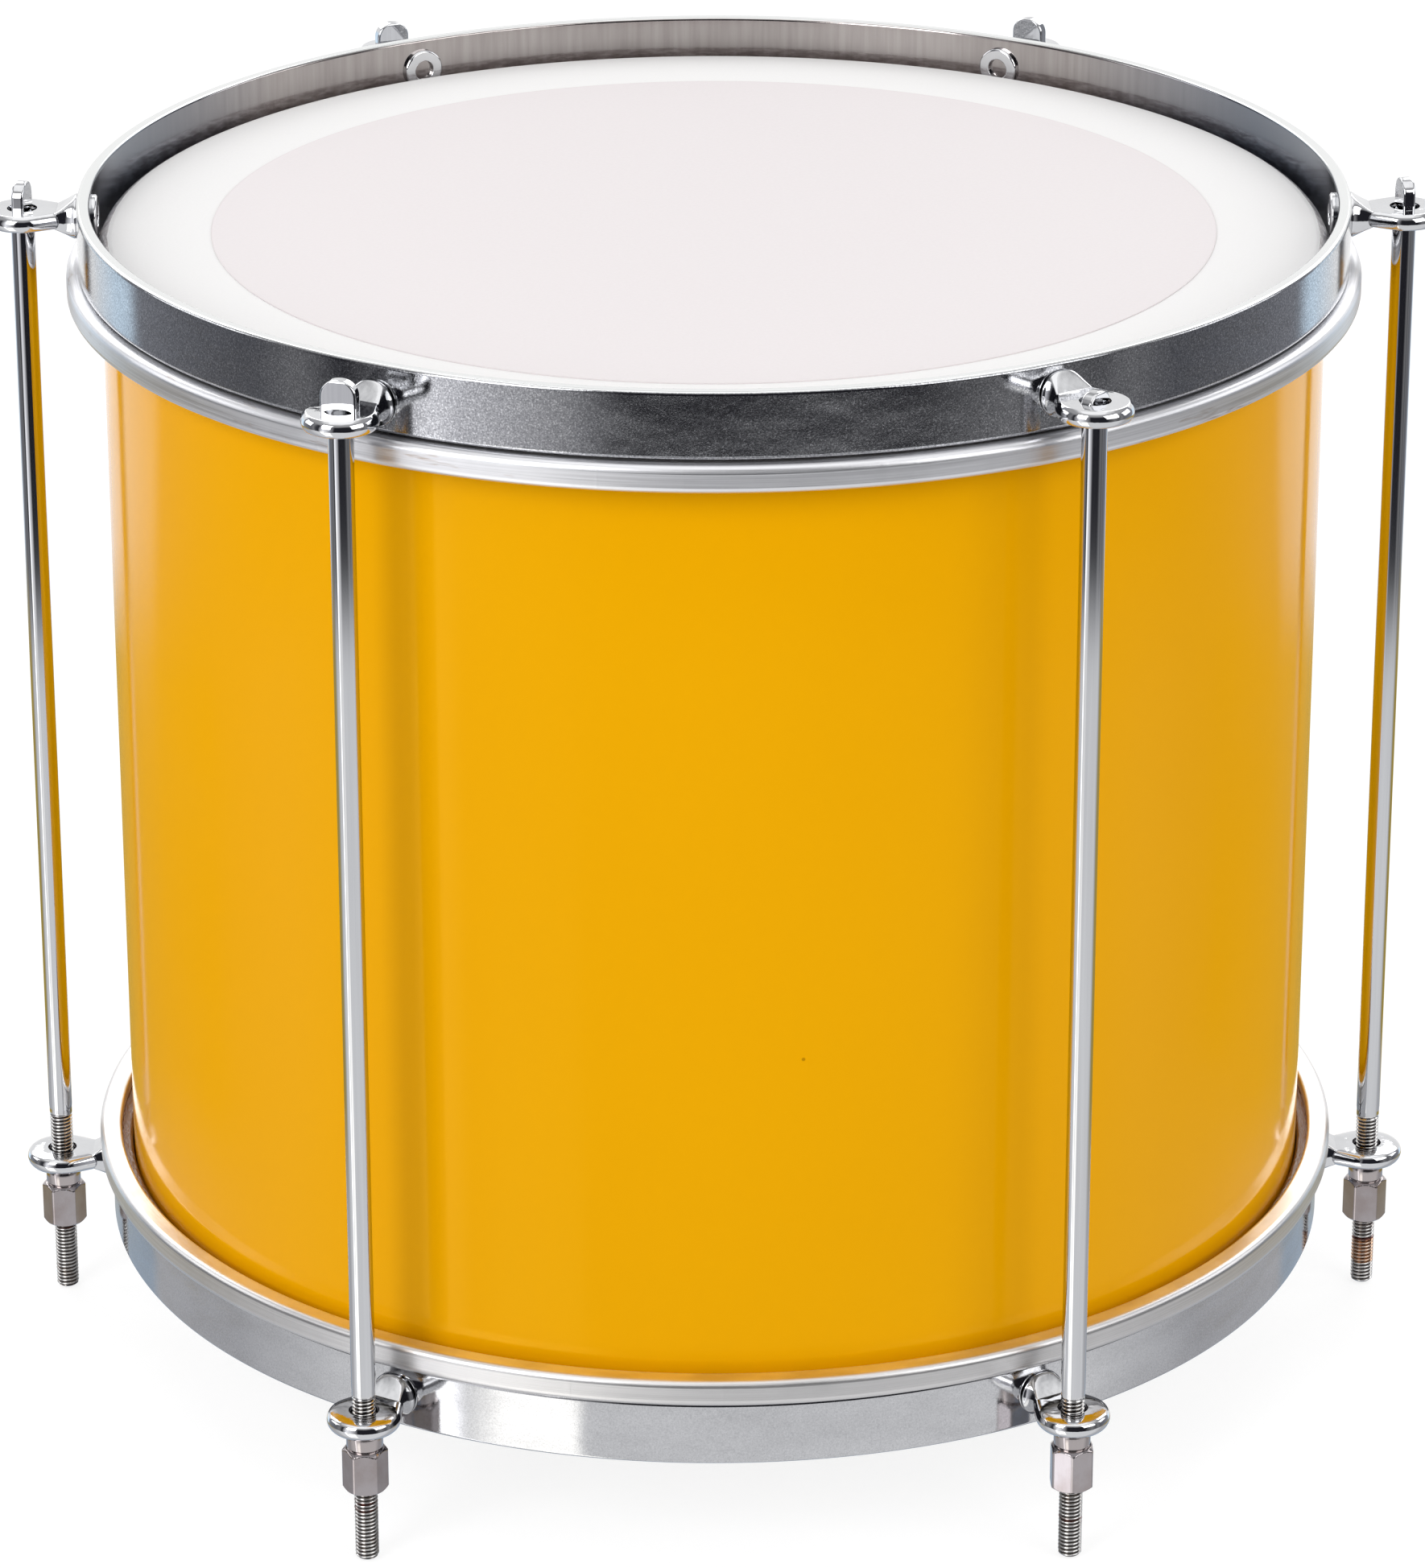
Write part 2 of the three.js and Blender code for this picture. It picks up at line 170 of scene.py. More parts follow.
def turned_data(profile, segments, bend=None):
    """Points and faces of a closed profile of (radius, height) turned about Z. A radius of 0 is a pole."""
    verts = []
    index = {}
    for i in range(segments):
        angle = 2 * math.pi * i / segments
        for j, (r, z) in enumerate(profile):
            if r < POLE and i > 0:
                index[i, j] = index[0, j]
                continue
            index[i, j] = len(verts)
            if bend:
                r, z = bend(r, z, angle)
            verts.append((r * math.sin(angle), -r * math.cos(angle), z))
    faces = []
    for i in range(segments):
        for j in range(len(profile)):
            k, m = (i + 1) % segments, (j + 1) % len(profile)
            loop = []
            for corner in (index[i, j], index[k, j], index[k, m], index[i, m]):
                if corner not in loop:
                    loop.append(corner)
            if len(loop) > 2:
                faces.append(loop)
    return verts, faces


def turned(name, profile, segments=288, bend=None, sharp=40):
    return finish_mesh(name, *turned_data(profile, segments, bend), sharp=sharp)


def lofted_data(rings, closed=False):
    """Points and faces between rings of equal count. Closed joins the last ring to the first."""
    count = len(rings[0])
    verts = [p for ring in rings for p in ring]
    faces = []
    for i in range(len(rings) if closed else len(rings) - 1):
        here, there = i * count, (i + 1) % len(rings) * count
        for j in range(count):
            k = (j + 1) % count
            faces.append((here + j, here + k, there + k, there + j))
    if not closed:
        faces.append(tuple(range(count)))
        faces.append(tuple(reversed(range((len(rings) - 1) * count, len(rings) * count))))
    return verts, faces


def joined(name, parts, sharp=40):
    verts, faces = [], []
    for more_verts, more_faces in parts:
        start = len(verts)
        verts += more_verts
        faces += [[start + i for i in f] for f in more_faces]
    return finish_mesh(name, verts, faces, sharp=sharp)


def placed(points, angle, height=0, out=0):
    """Points in a lug's frame, where +X runs out from the drum's axis, set at a place round the drum."""
    turn = math.radians(angle)
    sine, cosine = math.sin(turn), math.cos(turn)
    moved = [(x + out, y, z + height) for x, y, z in points]
    return [(x * sine + y * cosine, -x * cosine + y * sine, z) for x, y, z in moved]


def smooth(t):
    t = min(max(t, 0), 1)
    return t * t * (3 - 2 * t)


# Node helpers


class Shader:
    """A material with one Principled shader, and short calls for the nodes that feed it."""

    def __init__(self, name):
        self.material = bpy.data.materials.new(name)
        self.material.use_nodes = True
        self.tree = self.material.node_tree
        self.tree.nodes.clear()
        self.output = self.tree.nodes.new("ShaderNodeOutputMaterial")
        self.surface = self.node("ShaderNodeBsdfPrincipled")
        self.tree.links.new(self.surface.outputs[0], self.output.inputs["Surface"])
        self.object = self.node("ShaderNodeTexCoord").outputs["Object"]

    def node(self, kind, settings=None, **inputs):
        made = self.tree.nodes.new(kind)
        for key, value in (settings or {}).items():
            setattr(made, key, value)
        for key, value in inputs.items():
            self.set(made, key.replace("_", " "), value)
        return made

    def set(self, node, key, value):
        socket = node.inputs[int(key)] if key.isdigit() else node.inputs[key]
        if isinstance(value, bpy.types.NodeSocket):
            self.tree.links.new(value, socket)
        elif isinstance(value, tuple) and len(value) == 3 and socket.type == "RGBA":
            socket.default_value = (*value, 1)
        else:
            socket.default_value = value

    def put(self, **inputs):
        for key, value in inputs.items():
            self.set(self.surface, key.replace("_", " "), value)
        return self

    def math(self, operation, a, b=0.0, clamp=False):
        made = self.node("ShaderNodeMath", {"operation": operation, "use_clamp": clamp})
        self.set(made, "0", a)
        self.set(made, "1", b)
        return made.outputs[0]

    def scaled(self, vector, x, y, z):
        made = self.node("ShaderNodeVectorMath", {"operation": "MULTIPLY"})
        self.set(made, "0", vector)
        made.inputs[1].default_value = (x, y, z)
        return made.outputs[0]

    def noise(self, vector, scale, detail=2.0, roughness=0.5):
        settings = {"Vector": vector, "Scale": scale, "Detail": detail, "Roughness": roughness}
        return self.node("ShaderNodeTexNoise", **settings).outputs["Fac"]

    def spots(self, vector, scale, randomness=1.0):
        made = self.node("ShaderNodeTexVoronoi", Vector=vector, Scale=scale, Randomness=randomness)
        return made.outputs["Distance"]

    def fit(self, value, low, high, to_low=0.0, to_high=1.0):
        made = self.node("ShaderNodeMapRange", {"clamp": True})
        for key, number in (("0", value), ("1", low), ("2", high), ("3", to_low), ("4", to_high)):
            self.set(made, key, number)
        return made.outputs[0]

    def mix(self, factor, a, b):
        made = self.node("ShaderNodeMix", {"data_type": "RGBA"})
        self.set(made, "0", factor)
        self.set(made, "6", a)
        self.set(made, "7", b)
        return made.outputs[2]

    def split(self, vector=None):
        made = self.node("ShaderNodeSeparateXYZ")
        self.set(made, "0", vector or self.object)
        return made.outputs

    def radius(self):
        x, y, _ = self.split()
        squares = self.math("ADD", self.math("MULTIPLY", x, x), self.math("MULTIPLY", y, y))
        return self.math("SQRT", squares)

    def around(self):
        """Metres along the rim, radius and height, so that a texture can run round the drum."""
        x, y, z = self.split()
        along = self.math("MULTIPLY", self.math("ARCTAN2", y, x), SHELL_RADIUS * MM)
        made = self.node("ShaderNodeCombineXYZ")
        self.set(made, "0", along)
        self.set(made, "1", self.radius())
        self.set(made, "2", z)
        return made.outputs[0]

    def bump(self, height, distance, strength=1.0, normal=None):
        made = self.node("ShaderNodeBump", Strength=strength, Distance=distance, Height=height)
        if normal:
            self.set(made, "Normal", normal)
        return made.outputs[0]


# Materials


def shell_paint():
    """Glossy yellow lacquer with a faint peel and a few specks."""
    s = Shader("shell_paint")
    cloud = s.noise(s.object, 7, 2)
    colour = s.mix(cloud, (0.875, 0.40, 0.0004), (0.915, 0.432, 0.0008))
    speck = s.fit(s.spots(s.object, 55), 0.018, 0.03, 1, 0)
    chosen = s.math("MULTIPLY", speck, s.fit(s.noise(s.object, 23, 1), 0.6, 0.64))
    colour = s.mix(s.math("MULTIPLY", chosen, 0.6), colour, (0.30, 0.10, 0.0))
    peel = s.bump(s.noise(s.object, 420, 2), 0.00002, 0.35)
    s.put(Base_Color=colour, Roughness=s.fit(s.noise(s.object, 30, 3), 0.3, 0.7, 0.07, 0.13), Normal=peel)
    s.put(IOR=1.3, Specular_Tint=(1.0, 0.85, 0.1))
    return s.material


def coated_film(name, coated):
    """A film, milky within the coat's edge, and bare, wrinkled and glossy outside it."""
    s = Shader(name)
    grain = s.noise(s.object, 1400, 3, 0.7)
    cloud = s.noise(s.object, 9, 2)
    coat = s.mix(cloud, (0.885, 0.874, 0.868), (0.91, 0.90, 0.896))
    coat = s.mix(s.fit(grain, 0.35, 0.7), coat, (0.92, 0.91, 0.906))
    wrinkle = s.noise(s.scaled(s.around(), 260, 900, 500), 1, 3, 0.6)
    # Painted shade: the bare film is darker in the troughs of its folds
    bare = s.mix(s.fit(wrinkle, 0.42, 0.62), (0.60, 0.55, 0.55), (0.90, 0.87, 0.87))
    edge = s.radius()
    ragged = s.math("ADD", edge, s.math("MULTIPLY", s.noise(s.object, 160, 2), 0.0004))
    limit = (COAT_RADIUS if coated else COAT_RADIUS + 0.2) * MM
    outside = s.fit(ragged, limit, limit + 0.00018)
    before = s.fit(ragged, limit - 0.0005, limit - 0.0001)
    rim = s.math("MULTIPLY", before, s.fit(ragged, limit, limit + 0.0001, 1, 0))
    if not coated:
        # Painted shade: the collar is darkened where it lies in the shaded gap beside the shell's foot
        collar = s.fit(edge, (SHELL_RADIUS + 0.1) * MM, (SHELL_RADIUS + 0.5) * MM)
        bare = s.mix(collar, bare, (0.26, 0.14, 0.05))
    colour = s.mix(outside, s.mix(rim, coat, (0.98, 0.975, 0.97)), bare)
    relief = s.bump(grain, 0.00003, 0.5)
    folds = s.bump(s.math("MULTIPLY", wrinkle, outside), 0.0006, 0.8, relief)
    s.put(Base_Color=colour, Roughness=s.fit(outside, 0, 1, 0.62, 0.2), Normal=folds, IOR=1.5)
    return s.material


def dot_film():
    """The disc on the upper film, matt, with a darker glued edge."""
    s = Shader("dot_film")
    grain = s.noise(s.object, 1100, 3, 0.7)
    cloud = s.noise(s.object, 6, 3)
    colour = s.mix(cloud, (0.80, 0.748, 0.755), (0.828, 0.778, 0.785))
    colour = s.mix(s.fit(grain, 0.3, 0.75), colour, (0.838, 0.79, 0.797))
    inner = (DOT_RADIUS - 0.5) * MM
    edge = s.fit(s.radius(), inner, inner + 0.0004)
    colour = s.mix(s.math("MULTIPLY", edge, 0.5), colour, (0.71, 0.65, 0.66))
    s.put(Base_Color=colour, Roughness=0.5, Normal=s.bump(grain, 0.00002, 0.5), IOR=1.45)
    return s.material


def hoop_aluminium(name, tint, stained):
    """Aluminium drawn along the ring. Stained has brown marks, and the other ring a creamy inner face."""
    s = Shader(name)
    place = s.around()
    streaks = s.noise(s.scaled(place, 14, 2600, 2600), 1, 3, 0.65)
    patches = s.noise(s.scaled(place, 55, 90, 90), 1, 3)
    colour = s.mix(s.fit(streaks, 0.32, 0.66), tuple(0.78 * c for c in tint), tint)
    dull = s.fit(patches, 0.55, 0.75, 0, 0.5)
    colour = s.mix(dull, colour, tuple(0.74 * c for c in tint))
    if stained:
        stain = s.noise(s.scaled(place, 32, 60, 300), 1, 4, 0.7)
        colour = s.mix(s.fit(stain, 0.63, 0.74, 0, 0.7), colour, (0.30, 0.17, 0.08))
    ridge = s.noise(s.scaled(place, 480, 20, 20), 1, 1)
    relief = s.bump(streaks, 0.00003, 0.5)
    relief = s.bump(s.fit(ridge, 0.66, 0.74), 0.00005, 0.25, relief)
    rough = s.fit(streaks, 0.3, 0.7, 0.3, 0.46)
    if not stained:
        # Inward of its outer rounding the lower ring is tinted cream, in patches
        face = s.fit(s.radius(), (FLESH_RADIUS - 1.6) * MM, (FLESH_RADIUS - 1.1) * MM, 1, 0)
        cream_face = s.mix(s.fit(patches, 0.45, 0.6), (0.93, 0.91, 0.87), (0.80, 0.76, 0.70))
        colour = s.mix(face, colour, cream_face)
    s.put(Base_Color=colour, Metallic=1.0, Roughness=rough, Normal=relief)
    return s.material


def hoop_chrome(name, grain, tint):
    """Chromed strip, streaked and darker inside. Grain is how much the steel shows through the plating."""
    s = Shader(name)
    fine = s.noise(s.object, 2300, 3, 0.85)
    coarse = s.noise(s.scaled(s.around(), 60, 60, 160), 1, 3)
    x, _, z = s.split()
    # Painted shade: the inner wall is darker at the left and right flanks of the ring
    flank = s.math("MAXIMUM", s.fit(x, 0.095, 0.14), s.fit(x, -0.15, -0.115, 1, 0))
    streak = s.noise(s.scaled(s.around(), 420, 20, 30), 1, 3)
    wall = s.mix(s.fit(streak, 0.35, 0.65), (0.345, 0.315, 0.305), (0.42, 0.39, 0.378))
    wall = s.mix(flank, wall, (0.18, 0.20, 0.235))
    inner = s.fit(s.radius(), (HOOP_INNER + 0.6) * MM, (HOOP_INNER + 0.9) * MM, 1, 0)
    colour = s.mix(s.fit(coarse, 0.35, 0.7), tint, tuple(0.9 * c for c in tint))
    colour = s.mix(s.fit(fine, 0.54, 0.64, 0, 0.8 * grain), colour, (0.95, 0.95, 0.97))
    colour = s.mix(s.fit(fine, 0.38, 0.48, 0.85 * grain, 0), colour, (0.15, 0.15, 0.165))
    colour = s.mix(inner, colour, wall)
    # Painted highlight: a thin band along the top edge is paler
    edge = s.fit(z, (HOOP_HIGH - 0.35) * MM, (HOOP_HIGH - 0.1) * MM)
    colour = s.mix(edge, colour, (0.79, 0.80, 0.795))
    rough = s.fit(coarse, 0.3, 0.7, 0.05 + 0.02 * grain, 0.09 + 0.03 * grain)
    relief = s.bump(fine, 0.00003, 0.1 + 0.2 * grain)
    waves = s.bump(s.noise(s.scaled(s.around(), 70, 40, 110), 1, 2), 0.0004, 0.12, relief)
    s.put(Base_Color=colour, Metallic=1.0, Roughness=rough, Normal=waves)
    return s.material


def chrome(name, tint, waves):
    """Bright plating over a forging, with its soft waves and pits."""
    s = Shader(name)
    swell = s.noise(s.object, 210, 2)
    pits = s.noise(s.object, 1900, 3, 0.7)
    colour = s.mix(s.fit(s.noise(s.object, 90, 3), 0.4, 0.75), tint, tuple(0.9 * c for c in tint))
    relief = s.bump(swell, 0.0006, waves)
    relief = s.bump(pits, 0.00002, 0.3, relief)
    s.put(Base_Color=colour, Metallic=1.0, Roughness=s.fit(pits, 0.4, 0.8, 0.035, 0.10), Normal=relief)
    return s.material


def rod_chrome(place, angle, thread_end, marks):
    """Bright drawn bar above, and below it a rolled thread, its grooves painted dark for dirt and painted
    shade, and marks of rust.
    """
    s = Shader("rod_chrome_" + place)
    turn = math.radians(angle)
    x, y, z = s.split()
    x = s.math("SUBTRACT", x, ROD_CIRCLE * math.sin(turn) * MM)
    y = s.math("ADD", y, ROD_CIRCLE * math.cos(turn) * MM)
    reach = s.math("SQRT", s.math("ADD", s.math("MULTIPLY", x, x), s.math("MULTIPLY", y, y)))
    drawn = s.noise(s.scaled(s.object, 900, 900, 12), 1, 2)
    thread = s.fit(z, (thread_end - 1) * MM, (thread_end + 0.5) * MM, 1, 0)
    colour = s.mix(s.fit(drawn, 0.3, 0.7), (0.57, 0.575, 0.59), (0.63, 0.635, 0.65))
    colour = s.mix(thread, colour, (0.66, 0.65, 0.64))
    # The grooves are painted dark, partly for dirt and partly as painted shade
    groove = s.math("MULTIPLY", s.fit(reach, 0.0024, 0.0028, 1, 0), thread)
    colour = s.mix(s.math("MULTIPLY", groove, 0.92), colour, (0.09, 0.075, 0.065))
    grime = s.math("MULTIPLY", s.fit(s.noise(s.object, 260, 3), 0.54, 0.66, 0, 0.35), thread)
    colour = s.mix(grime, colour, (0.20, 0.15, 0.12))
    for low, high, depth in marks:
        above = s.fit(z, (low - 0.15) * MM, (low + 0.15) * MM)
        below = s.fit(z, (high - 0.15) * MM, (high + 0.15) * MM, 1, 0)
        inside = s.math("MULTIPLY", above, below)
        patch = s.math("MULTIPLY", inside, s.fit(s.noise(s.object, 200, 2), 0.3, 0.5, 0.55 * depth, depth))
        colour = s.mix(patch, colour, (0.12, 0.03, 0.018) if depth > 0.7 else (0.50, 0.23, 0.07))
    relief = s.bump(drawn, 0.00002, 0.2)
    s.put(Base_Color=colour, Metallic=1.0, Roughness=s.fit(thread, 0, 1, 0.05, 0.16), Normal=relief)
    return s.material


def nut_nickel():
    """Satin nickel, tarnished on the hex and cleaner on the collar."""
    s = Shader("nut_nickel")
    milled = s.noise(s.scaled(s.object, 700, 700, 90), 1, 3, 0.6)
    tarnish = s.noise(s.object, 130, 3)
    _, _, z = s.split()
    hex_top = NUT_HIGH - COLLAR_LENGTH
    collar = s.fit(z, (hex_top - 0.2) * MM, (hex_top + 0.2) * MM)
    colour = s.mix(s.fit(tarnish, 0.4, 0.7), (0.40, 0.37, 0.378), (0.33, 0.285, 0.28))
    colour = s.mix(collar, colour, (0.44, 0.40, 0.395))
    rough = s.mix(collar, s.fit(milled, 0.3, 0.7, 0.10, 0.15), (0.10, 0.10, 0.10))
    s.put(Base_Color=colour, Metallic=1.0, Roughness=rough)
    s.put(Normal=s.bump(milled, 0.00002, 0.5))
    return s.material


# Pieces


def dress(piece, node, body, material):
    """Give a piece its material, and let it stand for its node."""
    piece.data.materials.append(material)
    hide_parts(node)
    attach(piece, body)


def mirrored(profile):
    """An upper profile turned over onto the lower end of the drum."""
    return [(r, 2 * DRUM_MIDDLE - z) for r, z in profile]


def make_shell():
    flange = SHELL_RADIUS - SHELL_FLANGE
    inside, inner_round = SHELL_RADIUS - SHELL_WALL, BEARING_ROUND - SHELL_WALL
    profile = rounded(
        [
            (flange, SHELL_LOW, 0),
            (SHELL_RADIUS, SHELL_LOW, BEARING_ROUND),
            (SHELL_RADIUS, SHELL_HIGH, BEARING_ROUND),
            (flange, SHELL_HIGH, 0),
            (flange, SHELL_HIGH - SHELL_WALL, 0),
            (inside, SHELL_HIGH - SHELL_WALL, inner_round),
            (inside, SHELL_LOW + SHELL_WALL, inner_round),
            (flange, SHELL_LOW + SHELL_WALL, 0),
        ],
        steps=8,
    )
    dress(turned("piece_shell", profile, 360), "shell", "shell", shell_paint())


def head_profile():
    """The upper film: flat, turned down beside the shell, and out into the flesh hoop's groove."""
    edge_top = FLESH_HIGH - SLOT_DROP + FILM / 2
    edge = FLESH_INNER + SLOT_REACH
    return rounded(
        [
            (0, FILM_TOP, 0),
            (COLLAR_RADIUS, FILM_TOP, 3.6),
            (COLLAR_RADIUS, edge_top, 0.6),
            (edge, edge_top, 0),
            (edge, edge_top - FILM, 0),
            (COLLAR_RADIUS - FILM, edge_top - FILM, 0.9),
            (COLLAR_RADIUS - FILM, FILM_TOP - FILM, 3.3),
            (0, FILM_TOP - FILM, 0),
        ],
        steps=10,
    )


def make_heads():
    top = turned("piece_top_head", head_profile(), 360)
    dress(top, "top_head", "top_assembly", coated_film("coated_film", True))
    bottom = turned("piece_bottom_head", mirrored(head_profile()), 360)
    dress(bottom, "bottom_head", "bottom_assembly", coated_film("plain_film", False))
    low = FILM_TOP - 0.02
    corners = [(0, low, 0), (DOT_RADIUS, low, 0), (DOT_RADIUS, DOT_TOP, 0.12), (0, DOT_TOP, 0)]
    profile = rounded(corners, steps=4)
    dot = turned("piece_top_head_dot", profile, 360)
    dress(dot, "top_head_dot", "top_assembly", dot_film())


def flesh_profile():
    middle = FLESH_HIGH - SLOT_DROP
    half = FILM / 2 + SLOT_PLAY
    end = FLESH_INNER + SLOT_DEPTH
    return rounded(
        [
            (FLESH_INNER, FLESH_LOW, 0.7),
            (FLESH_RADIUS, FLESH_LOW, 1.6),
            (FLESH_RADIUS, FLESH_HIGH, 1.9),
            (FLESH_INNER, FLESH_HIGH, 0.9),
            (FLESH_INNER, middle + half, 0),
            (end, middle + half, 0),
            (end, middle - half, 0),
            (FLESH_INNER, middle - half, 0),
        ],
        steps=6,
    )


def ripple(r, z, angle):
    """The slight unevenness of a bar rolled into a ring."""
    point = Vector((9 * math.cos(angle), 9 * math.sin(angle), z * 0.02))
    fine = Vector((31 * math.cos(angle), 31 * math.sin(angle), z * 0.1))
    return r + 0.07 * noise.noise(point) + 0.025 * noise.noise(fine), z


def make_flesh_hoops():
    top = turned("piece_top_flesh_hoop", flesh_profile(), 480, ripple)
    material = hoop_aluminium("hoop_aluminium", (0.86, 0.862, 0.885), True)
    dress(top, "top_flesh_hoop", "top_assembly", material)
    bottom = turned("piece_bottom_flesh_hoop", mirrored(flesh_profile()), 480, ripple)
    material = hoop_aluminium("hoop_aluminium_lower", (0.80, 0.79, 0.785), False)
    dress(bottom, "bottom_flesh_hoop", "bottom_assembly", material)


def dimpled(r, z, angle):
    """A hoop is drawn in a little where each lug is riveted."""
    here = math.degrees(angle)
    near = min(abs((here - place[0] + 180) % 360 - 180) for place in PLACES.values())
    wave = Vector((6 * math.cos(angle), 6 * math.sin(angle), z * 0.03))
    return r - 0.16 * math.exp(-((near / 3.2) ** 2)) + 0.05 * noise.noise(wave), z


def make_hoops():
    profile = rounded(
        [
            (HOOP_INNER, HOOP_LOW, 1.0),
            (HOOP_RADIUS, HOOP_LOW, 1.0),
            (HOOP_RADIUS, HOOP_HIGH, 0.8),
            (HOOP_INNER, HOOP_HIGH, 0.8),
        ],
        steps=6,
    )
    top = turned("piece_top_hoop", profile, 480, dimpled)
    material = hoop_chrome("hoop_chrome", 0.8, (0.42, 0.425, 0.44))
    dress(top, "top_hoop", "top_assembly", material)
    bottom = turned("piece_bottom_hoop", mirrored(profile), 480, dimpled)
    material = hoop_chrome("hoop_chrome_lower", 0.25, (0.57, 0.572, 0.585))
    dress(bottom, "bottom_hoop", "bottom_assembly", material)


def superellipse(width, height, power, count, shift=0):
    ring = []
    for k in range(count):
        angle = 2 * math.pi * (k + shift) / count
        c, s = math.cos(angle), math.sin(angle)
        ring.append(
            (
                width * math.copysign(abs(c) ** (2 / power), c),
                height * math.copysign(abs(s) ** (2 / power), s),
            )
        )
    return ring


BASE_RADIUS = 5.85  # of a lug's disc on the hoop
CUT_SHARPNESS = 14  # how crisp the edge of the trumpet's flat cut is
STEM_RADIUS = 3.0
RIVET_RADIUS = 5.5
RIVET_DEPTH = 2.2  # of the hollow in the rivet's end
RIVET_OUT = 1.5  # how far the rivet's end stands inside the hoop


def flare_data():
    """The disc on the hoop and the trumpet that runs out of it, cut flat above and below."""
    # How far each section is from the hoop, its half width and the half height of its flat cut
    stations = [
        (0.15, 5.6, 5.6),
        (0.2, 5.75, 5.75),
        (0.4, 5.85, 5.85),
        (0.6, 5.85, 5.82),
        (0.85, 5.75, 5.6),
        (1.2, 5.57, 5.2),
        (1.6, 5.42, 4.8),
        (2.1, 5.28, 4.35),
        (2.7, 5.18, 3.86),
        (3.4, 5.14, 3.35),
        (4.1, 5.17, 2.88),
        (4.8, 5.26, 2.46),
        (5.6, 5.3, 2.0),
        (6.4, 5.3, 1.56),
    ]
    rings = []
    for along, wide, flat in stations:
        ring = []
        for k in range(96):
            angle = 2 * math.pi * k / 96
            high = max(abs(BASE_RADIUS * math.sin(angle)), 1e-4)
            high = (high**-CUT_SHARPNESS + flat**-CUT_SHARPNESS) ** (-1 / CUT_SHARPNESS)
            out = HOOP_RADIUS - ROD_CIRCLE + along
            ring.append((out, wide * math.cos(angle), math.copysign(high, math.sin(angle))))
        rings.append(ring)
    return lofted_data(rings)


def plate_data():
    """The eye plate, a teardrop with a barrel-shaped edge, crowned on its lower side."""
    neck = [(-9.6, 5.35), (-9.6, -5.35)]
    normals = [2 * math.pi * k / 360 for k in range(360)]
    reach = [max(EYE_RADIUS, max(x * math.cos(a) + y * math.sin(a) for x, y in neck)) for a in normals]
    count = 144

    def outline(inset, z):
        ring = []
        for k in range(count):
            angle = 2 * math.pi * k / count
            ahead = [(h, math.cos(a - angle)) for h, a in zip(reach, normals) if math.cos(a - angle) > 0.2]
            radius = min((h - inset) / cosine for h, cosine in ahead)
            ring.append((radius * math.cos(angle), radius * math.sin(angle), z))
        return ring

    def circle(radius, z):
        angles = [2 * math.pi * k / count for k in range(count)]
        return [(radius * math.cos(angle), radius * math.sin(angle), z) for angle in angles]

    barrel = 2.62
    first, last = math.asin(-0.73 * EYE_HALF / barrel), math.asin(0.93 * EYE_HALF / barrel)
    side = []
    for k in range(13):
        angle = first + (last - first) * k / 12
        side.append((barrel * (1 - math.cos(angle)), barrel * math.sin(angle)))
    full = side[-1][0]
    high = [(full + 0.1, EYE_HALF - 0.05), (full + 0.22, EYE_HALF), (full + 0.5, EYE_HALF)]
    low = [(4.4, -2.2), (3.4, -2.19), (2.4, -2.13), (1.6, -2.01), (1.0, -1.84)]
    rings = [circle(EYE_HOLE, -EYE_HALF), circle(EYE_HOLE + 0.15, -EYE_HALF)]
    rings += [outline(inset, z) for inset, z in low + side + high]
    rings += [circle(EYE_HOLE + 0.15, EYE_HALF), circle(EYE_HOLE, EYE_HALF)]
    return lofted_data(rings, closed=True)


def rivet_data():
    """The stem through the hoop and its turned-over hollow end, lying along +X."""
    end = HOOP_INNER - ROD_CIRCLE
    low = end - RIVET_OUT
    base = HOOP_RADIUS - ROD_CIRCLE + 0.5
    profile = rounded(
        [
            (0, low + RIVET_DEPTH, 0),
            (2.3, low + RIVET_DEPTH, 0.3),
            (2.7, low, 0.25),
            (RIVET_RADIUS, low, 0.6),
            (RIVET_RADIUS, end + 0.1, 0.2),
            (STEM_RADIUS, end + 0.1, 0),
            (STEM_RADIUS, base, 0),
            (0, base, 0),
        ],
        steps=4,
        support=0.05,
    )
    verts, faces = turned_data(profile, 40)
    return [(z, x, y) for x, y, z in verts], faces


def make_lugs():
    material = chrome("lug_chrome", (0.66, 0.665, 0.68), 0.25)
    shapes = (flare_data(), plate_data(), rivet_data())
    low_eye = 2 * DRUM_MIDDLE - EYE_MIDDLE
    ends = (("top", EYE_MIDDLE, 1), ("bottom", low_eye, -1))
    for place, (angle, *_) in PLACES.items():
        for end, level, way in ends:
            node = "lug_%s_%s" % (end, place)
            parts = []
            if end == "top":
                level = EYE_MIDDLE + RISE.get(place, 0)
            for verts, faces in shapes:
                verts = [(x, y, way * z) for x, y, z in verts]
                parts.append((placed(verts, angle, level, ROD_CIRCLE), faces))
            lug = joined("piece_" + node, parts, sharp=45)
            dress(lug, node, end + "_assembly", material)


THREAD_PITCH = 1.0
THREAD_STEPS = 8  # sections in each pitch
THREAD_CREST = 2.92  # radius
GROOVE_DEPTH = 0.66
TIP_CHAMFER = 1.1
ROD_SIDES = 40
SPADE_CAP = 4.1  # height of the half circle that closes it
SPADE_EDGE = 0.7  # height of the rounding at its very top
SUPPORT = 0.12  # from a flat's edge to the point that keeps it flat


def thread_ring(z, reach, thread_end):
    """A section of the rolled thread, which fades into the bar at its end. Reach limits its radius."""
    ring = []
    for k in range(ROD_SIDES):
        turn = (k + 0.5) / ROD_SIDES
        phase = (z / THREAD_PITCH - turn) % 1
        groove = abs(2 * phase - 1)
        depth = GROOVE_DEPTH * smooth((0.84 - groove) / 0.68)
        fade = smooth((thread_end - z) / 1.5)
        angle = 2 * math.pi * turn
        radius = min(THREAD_CREST - depth * fade + 0.06 * (1 - fade), reach)
        ring.append((radius * math.cos(angle), radius * math.sin(angle), z))
    return ring


